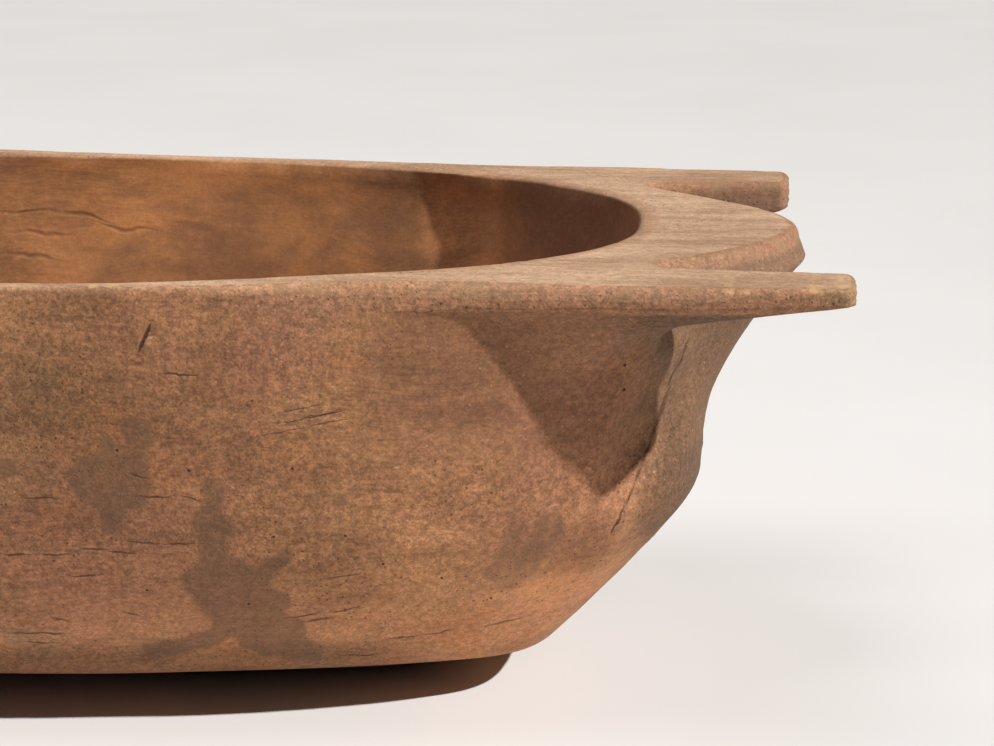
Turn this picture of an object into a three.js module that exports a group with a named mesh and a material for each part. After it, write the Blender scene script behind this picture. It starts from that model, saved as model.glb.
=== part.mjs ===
// A long wooden trough hewn from one log: a deep rounded basin with a level rim,
// and at each end two flat handles (horns) with a round nose (tongue) between them.
// Millimetres. X runs along the trough, Y across it, Z up. The foot stands on z = 0.
//
// The surface is spanned by lines that all run the same way: from the middle of the basin's
// floor up its wall, over the rim, out to the edge of the rim, horn or tongue, back in through
// the hollow below, down the outer wall, round its lower edge and in to the flat foot.

import * as THREE from 'three';

// Overall sizes
const troughLength = 1280;        // over the tips of the two longer horns
const troughWidth = 490;          // over the rims at mid-length
const troughHeight = 285;

// Basin
const rimWall = 20;               // wall thickness at the rim, at mid-length
const endLedge = 100;             // level top between the basin's end and the tongue's tip
const floorThickness = 50;
const basinPlanPowers = [2.6, 2.5];    // how square the opening is, along X and along Y
const basinWallPowers = [6.5, 4.4];    // how steep the basin's ends are, and its long walls
const basinFloorPower = 1.7;           // how flat the floor is

// Rim and horns
const sideBow = 60;               // half-length of the bowed stretch, before the rim runs straight
const rimEdgeHeight = 14;         // upright outer edge of the rim and of the horn's root
const edgeEase = 2.5;             // worn edges of the rim
const hornSpan = 388;             // over the outer edges of two horns, at the longer tips
const hornTipWidth = 48;
const hornWidening = 5;           // how much wider a horn is at its root
const hornTipCorner = 11;         // rounding of the tip's corners
const hornTipSquareness = 0.6;    // under 1 squares the tip off between its corners
const hornRootRun = 270;          // longer horn's tip back to where its edge leaves the body
const hornRootThickness = 29;     // under the notch

// The two horns of each end differ: the longer one is drawn out thinner.
// Thickness is along the inner edge at the tip, edgeHeight along the outer edge there,
// and notchDepth runs from the tongue's tip back to the bottom of the notch.
const longHorn = { setback: 0, thickness: 14, edgeHeight: 10, notchDepth: 81 };
const shortHorn = { setback: 36, thickness: 20, edgeHeight: 14, notchDepth: 97 };

// Tongue
const tongueSetback = 30;         // its tip, back from the tip of the longer horn
const tongueFlankRun = 36;        // how far the flank runs at 45 degrees from the notch
const tongueNoseHalfWidth = 52;   // how blunt the nose is
const tongueEdgeHeight = 15;      // upright part of the nose
const tongueNoseSwell = 3;        // how far the nose stands out below its top edge
const tongueFullAt = 0.7;         // share of the flank over which it deepens to its full form
const notchBack = 4;              // rounding of the notch, behind and below its corner
const notchFlank = 10;

// Outer wall
const tongueOverhang = 56;        // tongue's tip back to the end wall below it
const neckPowers = [1.56, 4.5];   // how soon the body draws in from the horn's root, and how
                                  // square its end is
const endRake = 88;               // how far the end wall draws in towards the lower edge
const sideRake = 84;              // the same for the long walls
const endBend = { depth: 152, softness: 26 };    // where the end wall turns in, and how gently
const sideDrawPower = 2.5;        // how late the long wall draws in
const endDrawPower = 15;          // how close to the end the wall follows the end's own curve

// Underside: a lower edge that stands clear of the floor, and a narrower flat foot
const lowerEdgeHeight = 30;
const lowerEdgeOval = 521;        // half-length of the oval that it follows
const lowerEdgePowers = [2, 2.28];     // how square that oval is, along X and along Y
const lowerEdgeBluntness = 44;    // how squarely the oval is cut off at the ends
const baseRound = 5;              // rounding of the lower edge
const footInset = 92;             // lower edge in to the flat foot

// Hollow under the rim, horns and tongue. Its corner lies drop below the rim, it has run out
// into the wall foot further down, and hug over 1 keeps it closer to its corner.
const sideHollow = { foot: 30, hug: 1 };
const hornHollow = { drop: 30, foot: 52, hug: 2.2 };
const notchHollow = { drop: 32, foot: 52, hug: 1.4 };
const tongueHollow = { drop: 79, foot: 62, hug: 1 };

// Lines in each part of a quarter of the outline, and points in each part of a line
const lineCounts = { side: 12, hornOuter: 8, hornTip: 6, hornInner: 5, notch: 2, tongue: 10 };
const pointCounts = { basin: 9, hollow: 6, wall: 6, baseRound: 3 };
const sideBunching = 0.9;         // spacing of the side's lines, closer together at the horn

// Sizes that follow
const longHornReach = troughLength / 2;
const tongueReach = longHornReach - tongueSetback;
const halfWidth = troughWidth / 2;
const openingHalfLength = tongueReach - endLedge;
const openingHalfWidth = halfWidth - rimWall;
const basinDepth = troughHeight - floorThickness;
const bodyHalfLength = tongueReach - tongueOverhang;
const wallHeight = troughHeight - lowerEdgeHeight;
const baseHalfLength = bodyHalfLength - endRake;
const baseHalfWidth = halfWidth - sideRake;
const notchHalfSpread = hornSpan / 2 - hornTipWidth - hornWidening;
const hornRootX = longHornReach - hornRootRun;
const quarterTurn = Math.PI / 2;

// Where each part of the horn ends on the neck, as shares of the way from its root to the notch.
// A place on the neck is named by its half-width as a share of the rim's half-width above it.
const notchNeck = (notchHalfSpread - notchBack) / rimHalfWidth(bodyHalfLength);
const neckShares = { hornOuter: 0.34, hornTip: 0.6, hornInner: 0.87 };

// The same round the opening, as shares of the place where it is as wide as the tongue.
const openingAtNotch = (1 - (notchHalfSpread / openingHalfWidth) ** basinPlanPowers[1])
  ** (1 / basinPlanPowers[0]);
const openingShares = { side: 0.83, hornOuter: 0.923, hornTip: 0.963, hornInner: 0.998, notch: 1.015 };

function mix(a, b, t) {
  return a + (b - a) * t;
}

function easeInOut(t) {
  return t * t * (3 - 2 * t);
}

function raise(plan, z) {
  return new THREE.Vector3(plan.x, plan.y, z);
}

// Half-width of the rim at x: bowed at mid-length, then a taper that runs straight to the horns.
function rimHalfWidth(x) {
  const taperedRun = (at) => Math.hypot(at, sideBow) - sideBow;
  return halfWidth - (halfWidth - hornSpan / 2) * taperedRun(x) / taperedRun(longHornReach);
}

// Quarter of a squared oval, at a fraction of its half-length.
function ovalPoint(halfLength, halfBreadth, powers, fraction) {
  const rest = Math.max(0, 1 - fraction ** powers[0]);
  return new THREE.Vector2(halfLength * fraction, halfBreadth * rest ** (1 / powers[1]));
}

function openingPoint(fraction) {
  return ovalPoint(openingHalfLength, openingHalfWidth, basinPlanPowers, fraction);
}

// Outline of the body's end under the rim, where it has a given share of the rim's half-width:
// 1 at the horn's root and 0 in the middle of the end.
function neckPoint(widthShare) {
  const rest = 1 - widthShare ** neckPowers[1];
  const x = hornRootX + (bodyHalfLength - hornRootX) * rest ** (1 / neckPowers[0]);
  return new THREE.Vector2(x, rimHalfWidth(x) * widthShare);
}

// The same, a share of the way along the horn's part of it, from the root to the notch.
function hornNeckPoint(share) {
  return neckPoint(mix(1, notchNeck, share));
}

// Lower edge in plan, at a fraction of its half-length, or an outline inside it.
function baseOutline(fraction, inset) {
  const x = baseHalfLength * fraction;
  const oval = ovalPoint(lowerEdgeOval, baseHalfWidth, lowerEdgePowers, x / lowerEdgeOval);
  const blunt = Math.sqrt(Math.max(0, 1 - fraction ** lowerEdgeBluntness));
  return new THREE.Vector2(
    x * (1 - inset / baseHalfLength),
    oval.y * blunt * (1 - inset / baseHalfWidth),
  );
}

// Share of its rake by which the wall has drawn in at a depth below the rim: the long wall as a
// power of the depth, and the end wall upright at first and then straight in, with a soft bend.
function drawnIn(fraction, depth) {
  const side = (depth / wallHeight) ** sideDrawPower;
  const bent = (at) => Math.hypot(at - endBend.depth, endBend.softness) + at;
  const end = (bent(depth) - bent(0)) / (bent(wallHeight) - bent(0));
  return mix(side, end, fraction ** endDrawPower);
}

// Curve that rounds the corner b between a and c.
function roundCorner(a, b, c, hug, t) {
  const weights = [(1 - t) ** 2, 2 * hug * t * (1 - t), t ** 2];
  const total = weights[0] + weights[1] + weights[2];
  return new THREE.Vector3()
    .addScaledVector(a, weights[0] / total)
    .addScaledVector(b, weights[1] / total)
    .addScaledVector(c, weights[2] / total);
}

// What each line needs: where it crosses the outline (rim), the neck below it, the fraction of
// the opening that it crosses, and the heights of its edge and its hollow.
// Long side, from mid-length to the horn's root, where the wall stands right under the rim.
function sideLines() {
  return Array.from({ length: lineCounts.side }, (_, i) => {
    const t = i / lineCounts.side;
    const x = hornRootX * Math.sin(t * quarterTurn) ** sideBunching;
    const rim = new THREE.Vector2(x, rimHalfWidth(x));
    return {
      rim,
      neck: rim,
      opening: openingAtNotch * openingShares.side * (x / hornRootX),
      edge: rimEdgeHeight,
      drop: rimEdgeHeight,
      foot: mix(sideHollow.foot, hornHollow.foot, t),
      hug: sideHollow.hug,
    };
  });
}

// Outer edge of a horn, running straight on from the rim.
function hornOuterLines(horn, tipStart) {
  return Array.from({ length: lineCounts.hornOuter }, (_, i) => {
    const t = i / lineCounts.hornOuter;
    const x = mix(hornRootX, tipStart.x, t);
    return {
      rim: new THREE.Vector2(x, rimHalfWidth(x)),
      neck: hornNeckPoint(neckShares.hornOuter * t),
      opening: openingAtNotch * mix(openingShares.side, openingShares.hornOuter, t),
      edge: mix(rimEdgeHeight, horn.edgeHeight, t),
      drop: mix(rimEdgeHeight, hornHollow.drop, easeInOut(t)),
      foot: hornHollow.foot,
      hug: mix(sideHollow.hug, hornHollow.hug, t),
    };
  });
}

// Tip of a horn with its two rounded corners.
function hornTipLines(horn, tipStart, innerY) {
  return Array.from({ length: lineCounts.hornTip }, (_, i) => {
    const t = i / lineCounts.hornTip;
    const angle = mix(quarterTurn, -quarterTurn, t);
    const across = Math.sign(Math.sin(angle)) * Math.abs(Math.sin(angle)) ** hornTipSquareness;
    const outwards = Math.cos(angle) ** hornTipSquareness;
    return {
      rim: new THREE.Vector2(
        tipStart.x + hornTipCorner * outwards,
        mix(innerY, tipStart.y, (1 + across) / 2),
      ),
      neck: hornNeckPoint(mix(neckShares.hornOuter, neckShares.hornTip, t)),
      opening: openingAtNotch * mix(openingShares.hornOuter, openingShares.hornTip, t),
      edge: mix(horn.edgeHeight, horn.thickness, t),
      ...hornHollow,
    };
  });
}

// Inner edge of a horn, from its tip back to the notch.
function hornInnerLines(horn, innerEnd, notchMouth) {
  return Array.from({ length: lineCounts.hornInner }, (_, i) => {
    const t = i / lineCounts.hornInner;
    return {
      rim: innerEnd.clone().lerp(notchMouth, t),
      neck: hornNeckPoint(mix(neckShares.hornTip, neckShares.hornInner, t)),
      opening: openingAtNotch * mix(openingShares.hornTip, openingShares.hornInner, t),
      edge: mix(horn.thickness, hornRootThickness, t),
      drop: mix(hornHollow.drop, notchHollow.drop, t),
      foot: mix(hornHollow.foot, notchHollow.foot, t),
      hug: mix(hornHollow.hug, notchHollow.hug, t),
    };
  });
}

// Rounded bottom of the notch between a horn and the tongue.
function notchLines(notchMouth, notchX, flankStart) {
  const corner = new THREE.Vector2(notchX - notchBack, notchHalfSpread);
  const curve = new THREE.QuadraticBezierCurve(notchMouth, corner, flankStart);
  return Array.from({ length: lineCounts.notch }, (_, i) => {
    const t = i / lineCounts.notch;
    return {
      rim: curve.getPoint(t),
      neck: hornNeckPoint(mix(neckShares.hornInner, 1, t)),
      opening: openingAtNotch * mix(openingShares.hornInner, openingShares.notch, t),
      edge: hornRootThickness,
      ...notchHollow,
    };
  });
}

// Flank and nose of the tongue, up to and with the middle of the end.
function tongueLines(notchX, flankStart) {
  const curve = new THREE.CubicBezierCurve(
    flankStart,
    new THREE.Vector2(notchX + tongueFlankRun, notchHalfSpread - tongueFlankRun),
    new THREE.Vector2(tongueReach, tongueNoseHalfWidth),
    new THREE.Vector2(tongueReach, 0),
  );
  const openingStart = openingAtNotch * openingShares.notch;
  return Array.from({ length: lineCounts.tongue + 1 }, (_, i) => {
    const t = i / lineCounts.tongue;
    const full = easeInOut(Math.min(1, t / tongueFullAt));
    return {
      rim: curve.getPoint(t),
      neck: neckPoint(notchNeck * (1 - t)),
      // the opening's end is round, so what is left of its half-length shrinks as a square
      opening: 1 - (1 - openingStart) * (1 - t) ** 2,
      edge: mix(hornRootThickness, tongueEdgeHeight, full),
      drop: mix(notchHollow.drop, tongueHollow.drop, full),
      foot: mix(notchHollow.foot, tongueHollow.foot, full),
      hug: mix(notchHollow.hug, tongueHollow.hug, full),
      swell: tongueNoseSwell * full,
    };
  });
}

// Outward direction in plan at each line, from its neighbours in its own quarter.
function withOutward(lines) {
  const last = lines.length - 1;
  return lines.map((line, i) => {
    const before = lines[Math.max(0, i - 1)].rim;
    const after = lines[Math.min(last, i + 1)].rim;
    const along = after.clone().sub(before).normalize();
    let outward = new THREE.Vector2(-along.y, along.x);
    if (i === 0) outward = new THREE.Vector2(0, 1);
    if (i === last) outward = new THREE.Vector2(1, 0);
    return { ...line, outward };
  });
}

// A quarter from the middle of the long side to the middle of the end, both included.
function quarterLines(horn) {
  const tipX = longHornReach - horn.setback - hornTipCorner;
  const tipStart = new THREE.Vector2(tipX, rimHalfWidth(tipX));
  const innerY = tipStart.y - hornTipWidth;
  const notchX = tongueReach - horn.notchDepth;
  const notchMouth = new THREE.Vector2(notchX + hornTipCorner, notchHalfSpread);
  const flankStart = new THREE.Vector2(notchX + notchBack, notchHalfSpread - notchFlank);
  return withOutward([
    ...sideLines(),
    ...hornOuterLines(horn, tipStart),
    ...hornTipLines(horn, tipStart, innerY),
    ...hornInnerLines(horn, new THREE.Vector2(tipX, innerY), notchMouth),
    ...notchLines(notchMouth, notchX, flankStart),
    ...tongueLines(notchX, flankStart),
  ]);
}

// Wall point at height z: the neck's outline drawn in towards the lower edge's outline.
function wallPoint(line, z) {
  const fraction = line.neck.x / bodyHalfLength;
  const base = baseOutline(fraction, 0);
  return raise(line.neck.clone().lerp(base, drawnIn(fraction, troughHeight - z)), z);
}

// From the middle of the basin's floor up to its edge.
function basinPoints(line) {
  const edge = openingPoint(line.opening);
  return Array.from({ length: pointCounts.basin }, (_, i) => {
    const angle = ((i + 1) / pointCounts.basin) * quarterTurn;
    const depth = basinDepth * Math.cos(angle) ** (2 / basinFloorPower);
    return new THREE.Vector3(
      edge.x * Math.sin(angle) ** (2 / basinWallPowers[0]),
      edge.y * Math.sin(angle) ** (2 / basinWallPowers[1]),
      troughHeight - Math.max(depth, edgeEase),
    );
  });
}

// Across the rim, level on top and eased at both edges.
function rimPoints(line) {
  const away = 1 + edgeEase / openingHalfWidth;
  const easedRim = line.rim.clone().addScaledVector(line.outward, -edgeEase);
  return [
    raise(openingPoint(line.opening).multiplyScalar(away), troughHeight),
    raise(easedRim, troughHeight),
    raise(line.rim, troughHeight - edgeEase),
  ];
}

// In from the lower edge of the rim, horn or tongue and down through the hollow.
function hollowPoints(line) {
  const outline = line.rim.clone().addScaledVector(line.outward, line.swell ?? 0);
  const edge = raise(outline, troughHeight - line.edge);
  const corner = wallPoint(line, troughHeight - line.drop);
  const foot = wallPoint(line, troughHeight - line.drop - line.foot);
  return Array.from(
    { length: pointCounts.hollow + 1 },
    (_, i) => roundCorner(edge, corner, foot, line.hug, i / pointCounts.hollow),
  );
}

// Down the wall from the hollow, round the lower edge, and in to the edge of the flat foot.
function lowerPoints(line) {
  const hollowEnd = troughHeight - line.drop - line.foot;
  const wallEnd = lowerEdgeHeight + baseRound;
  const wall = Array.from(
    { length: pointCounts.wall },
    (_, i) => wallPoint(line, mix(hollowEnd, wallEnd, (i + 1) / pointCounts.wall)),
  );
  const corner = wallPoint(line, lowerEdgeHeight);
  const foot = raise(baseOutline(line.neck.x / bodyHalfLength, footInset), 0);
  const inwards = corner.clone().lerp(foot, baseRound / footInset);
  const round = Array.from(
    { length: pointCounts.baseRound },
    (_, i) => roundCorner(wall.at(-1), corner, inwards, 1, (i + 1) / pointCounts.baseRound),
  );
  return [...wall, ...round, foot];
}

function pointsOf(line) {
  return [...basinPoints(line), ...rimPoints(line), ...hollowPoints(line), ...lowerPoints(line)];
}

// The whole way round: the four quarters mirrored in turn, with each seam counted once.
function loopRound() {
  const longQuarter = quarterLines(longHorn).map(pointsOf);
  const shortQuarter = quarterLines(shortHorn).map(pointsOf);
  const mirrored = (quarter, signX, signY) => quarter.map((points) => points.map(
    (point) => new THREE.Vector3(point.x * signX, point.y * signY, point.z),
  ));
  return [
    ...mirrored(longQuarter, 1, -1),
    ...mirrored(shortQuarter, 1, 1).reverse().slice(1),
    ...mirrored(longQuarter, -1, 1).slice(1),
    ...mirrored(shortQuarter, -1, -1).reverse().slice(1, -1),
  ];
}

// Closed surface over the lines, with one point in the middle of the floor and one below it.
function surfaceOver(loop) {
  const perLine = loop[0].length;
  const positions = loop.flat().flatMap((point) => point.toArray());
  const floorMiddle = loop.length * perLine;
  const baseMiddle = floorMiddle + 1;
  positions.push(0, 0, floorThickness, 0, 0, 0);
  const triangles = [];
  for (let i = 0; i < loop.length; i += 1) {
    const here = i * perLine;
    const next = ((i + 1) % loop.length) * perLine;
    for (let j = 0; j < perLine - 1; j += 1) {
      triangles.push(here + j, here + j + 1, next + j + 1);
      triangles.push(here + j, next + j + 1, next + j);
    }
    triangles.push(floorMiddle, here, next);
    triangles.push(baseMiddle, next + perLine - 1, here + perLine - 1);
  }
  const geometry = new THREE.BufferGeometry();
  geometry.setAttribute('position', new THREE.Float32BufferAttribute(positions, 3));
  geometry.setIndex(triangles);
  geometry.computeVertexNormals();
  return geometry;
}

const wornWood = new THREE.MeshStandardMaterial({ color: 0x9a6f4c, roughness: 0.82, metalness: 0 });

const troughBody = new THREE.Mesh(surfaceOver(loopRound()), wornWood);
troughBody.name = 'trough_body';

const trough = new THREE.Group();
trough.add(troughBody);

export default trough;
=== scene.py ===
import bpy
import math
import numpy as np
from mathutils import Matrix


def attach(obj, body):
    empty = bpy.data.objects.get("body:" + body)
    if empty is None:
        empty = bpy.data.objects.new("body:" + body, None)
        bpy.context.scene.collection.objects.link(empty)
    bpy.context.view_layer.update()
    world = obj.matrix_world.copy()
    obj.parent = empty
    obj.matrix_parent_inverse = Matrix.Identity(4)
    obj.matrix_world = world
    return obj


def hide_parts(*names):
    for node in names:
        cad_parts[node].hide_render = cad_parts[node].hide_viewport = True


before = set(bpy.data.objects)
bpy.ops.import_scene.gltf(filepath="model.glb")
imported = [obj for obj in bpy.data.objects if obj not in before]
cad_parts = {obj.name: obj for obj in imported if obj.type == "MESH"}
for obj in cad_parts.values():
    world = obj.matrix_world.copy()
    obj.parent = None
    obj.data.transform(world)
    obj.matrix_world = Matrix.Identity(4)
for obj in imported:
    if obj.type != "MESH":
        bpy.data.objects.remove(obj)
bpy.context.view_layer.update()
print("frame loaded")

# The trough's sizes, in millimetres. X runs along it, Y across it, Z up, as in the frame.
trough = {
    "length": 1280,
    "width": 490,
    "height": 285,
    "rimWall": 20,
    "endLedge": 100,
    "floorThickness": 50,
    "planPowers": (2.6, 2.5),      # squareness of the opening along X and along Y
    "wallPowers": (6.5, 4.4),      # steepness of the basin's ends and of its long walls
    "floorPower": 1.7,
    "bow": 60,                     # how gently the rim's sides bend at mid-length
    "bandHeight": 16,
    "topEase": 3.2,
    "hornEase": 7.5,               # how round the outer top edge gets at the horn's root
    "hornEaseRun": (250, 430, 540, 630),
    "bandEase": (6.5, 1.6),        # rounding of the band's lower edge at mid-length and at the horns
    "bandEaseRun": (230, 400),
    "hornSpan": 388,
    "tipWidth": 48,
    "hornWidening": 5,
    "tipCorner": 9,
    "tipSquareness": 0.55,
    "hornRootRun": 270,
    "neckPowers": (1.56, 4.5),     # how soon the body leaves the horn's root, how square its end is
    "hornRootThickness": 29,
    "tongueSetback": 30,
    "flankRun": 36,
    "noseHalfWidth": 52,
    "noseHeight": 20,
    "noseSwell": 4.5,
    "noseFullAt": 0.7,
    "noseEase": 8,                 # rounding of the tongue's top edge
    "notchBack": 4,
    "notchFlank": 10,
    "mouthRun": 11,
    "overhang": 56,
    "endRake": 88,
    "sideRake": 84,
    "endBend": (151, 14),          # depth at which the end wall turns in, and how gently
    "sidePower": 2.5,
    "endPower": 15,                # how close to the end the wall follows the end's own curve
    "lowerEdge": 30,               # height of the lower edge over the floor
    "baseOval": 521,               # half-length of the oval that the lower edge follows
    "basePowers": (2.0, 2.28),
    "baseBlunt": 44,               # how squarely the oval's end is cut off
    "baseRound": 5,
    "footInset": 92,
}

# The hollow below the rim, horns and tongue: how deep its corner lies, how far down it runs out
# and how tightly it hugs the corner.
hollows = {
    "side": (trough["bandHeight"], 30, 1.0),
    "horn": (30, 52, 2.2),
    "notch": (32, 52, 1.4),
    "tongue": (79, 62, 1.0),
}

# The two kinds of horn: how far the tip stands back, its thickness along the inner edge, the
# height of its outer edge, and how deep the notch beside it is.
horns = {
    "long": {"setback": 0, "thickness": 14, "edge": 10, "notch": 81},
    "short": {"setback": 36, "thickness": 20, "edge": 14, "notch": 97},
}

# The quarters in order round the trough: horn, how fine the mesh is, and the signs of X and Y.
quarters = [("long", 1.15, 1, -1), ("short", 1.0, 1, 1), ("long", 0.9, -1, 1),
            ("short", 0.9, -1, -1)]

# At the end of each stretch of the outline: how far the neck below has come from the horn's
# root (0) to the notch (1), and which share of the opening's own is reached.
neckAt = {"side": 0, "outer": 0.34, "tip": 0.6, "inner": 0.87, "notch": 1}
openingAt = {"side": 0.83, "outer": 0.923, "tip": 0.963, "inner": 0.998, "notch": 1.015}

lineCounts = {"side": 58, "outer": 34, "tip": 20, "inner": 15, "notch": 6, "tongue": 26}
rowCounts = {"basin": 46, "innerEase": 4, "top": 12, "topEase": 4, "band": 5, "bandEase": 3,
             "hollow": 18, "wall": 34, "baseRound": 4, "under": 8, "base": 4}


# Straight blend from a to b.
def mix(a, b, t):
    return a + (b - a) * t


# Smooth step: 0 below low, 1 above high, with level ends.
def ease(value, low=0.0, high=1.0):
    t = np.clip((value - low) / (high - low), 0, 1)
    return t * t * (3 - 2 * t)


# Smooth steps up and down again: 1 from full to fading, 0 outside low and end.
def plateau(value, low, full, fading, end):
    return ease(value, low, full) * (1 - ease(value, fading, end))


# Bell of height 1 at centre, exp(-((value - centre) / spread) squared).
def bell(value, centre, spread):
    return np.exp(-((value - centre) / spread) ** 2)


# Tent of a given height over a line: height (1 - |distance| / width), not below 0.
def tent(distance, width, height):
    return height * np.clip(1 - np.abs(distance) / width, 0, None)


# Random number from 0 to 1 for each whole-numbered cell, the same each run.
def cellRandom(ix, iy, iz, seed):
    h = ix.astype(np.int64) * 374761393 + iy.astype(np.int64) * 668265263
    h = h + iz.astype(np.int64) * 1442695041 + seed * 974634777
    h = (h ^ (h >> 13)) * 1274126177
    h = h ^ (h >> 16)
    return (h & 0xFFFFF) / float(0xFFFFF)


# Smooth noise from -1 to 1: random numbers at whole-numbered corners, blended with level ends.
def smoothNoise(points, cell, seed):
    scaled = points / np.array(cell, float)
    low = np.floor(scaled)
    part = ease(scaled - low)
    total = 0
    for corner in np.ndindex(2, 2, 2):
        weight = np.prod(np.where(np.array(corner) == 1, part, 1 - part), axis=-1)
        at = low + np.array(corner)
        total = total + weight * cellRandom(at[..., 0], at[..., 1], at[..., 2], seed)
    return total * 2 - 1


# Overlapping shallow dishes left by an adze: 0 in the middle of a cut, 1 on the ridge between
# two cuts, the squared ratio of the distances to the nearest two of scattered centres.
def adzeCuts(points, cell, seed):
    scaled = points / np.array(cell, float)
    low = np.floor(scaled)
    nearest = np.full(points.shape[:-1], 9.0)
    second = np.full(points.shape[:-1], 9.0)
    for offset in np.ndindex(3, 3, 3):
        at = low + np.array(offset) - 1
        centre = np.stack([
            at[..., k] + cellRandom(at[..., 0], at[..., 1], at[..., 2], seed + k)
            for k in range(3)
        ], axis=-1)
        distance = np.linalg.norm(scaled - centre, axis=-1)
        second = np.minimum(second, np.maximum(nearest, distance))
        nearest = np.minimum(nearest, distance)
    return np.clip(nearest / second, 0, 1) ** 2


# Half-width of the rim at x: a hyperbola at mid-length that runs straight out to the horns.
def rimHalfWidth(x):
    reach = trough["length"] / 2
    bow = trough["bow"]
    run = (np.hypot(x, bow) - bow) / (math.hypot(reach, bow) - bow)
    return trough["width"] / 2 - (trough["width"] - trough["hornSpan"]) / 2 * run


# Quarter of a squared oval: y = b (1 - f^p)^(1/q) at x = a f.
def ovalPoint(halfLength, halfBreadth, powers, fraction):
    rest = np.clip(1 - fraction ** powers[0], 0, 1)
    return np.stack([halfLength * fraction, halfBreadth * rest ** (1 / powers[1])], axis=-1)


# Edge of the opening: a squared oval inside the rim's wall and the end's ledge.
def openingPoint(fraction):
    reach = trough["length"] / 2 - trough["tongueSetback"]
    return ovalPoint(reach - trough["endLedge"], trough["width"] / 2 - trough["rimWall"],
                     trough["planPowers"], fraction)


bodyHalfLength = trough["length"] / 2 - trough["tongueSetback"] - trough["overhang"]
hornRootX = trough["length"] / 2 - trough["hornRootRun"]
notchHalfSpread = trough["hornSpan"] / 2 - trough["tipWidth"] - trough["hornWidening"]


# Outline of the body's end under the rim, where it has the share s of the rim's half-width:
# x = root + run (1 - s^q)^(1/p), 1 at the horn's root and 0 in the middle of the end.
def neckPoint(share):
    p, q = trough["neckPowers"]
    x = hornRootX + (bodyHalfLength - hornRootX) * np.clip(1 - share ** q, 0, 1) ** (1 / p)
    return np.stack([x, rimHalfWidth(x) * share], axis=-1)


# Lower edge in plan: an oval y = b (1 - (x / a)^p)^(1/q), its end cut off blunt by
# (1 - f^k)^(1/2) at the fraction f of the base's half-length, drawn in by inset.
def baseOutline(fraction, inset):
    reach = bodyHalfLength - trough["endRake"]
    x = reach * fraction
    oval = np.clip(1 - (x / trough["baseOval"]) ** trough["basePowers"][0], 0, 1)
    blunt = np.sqrt(np.clip(1 - fraction ** trough["baseBlunt"], 0, 1))
    width = trough["width"] / 2 - trough["sideRake"]
    y = width * oval ** (1 / trough["basePowers"][1]) * blunt
    return np.stack([x * (1 - inset / reach), y * (1 - inset / width)], axis=-1)


# Points of a cubic curve with four control points in plan.
def cubicCurve(points, t):
    t = t[:, None]
    p = [np.array(point, float) for point in points]
    return ((1 - t) ** 3 * p[0] + 3 * (1 - t) ** 2 * t * p[1]
            + 3 * (1 - t) * t ** 2 * p[2] + t ** 3 * p[3])


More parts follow.
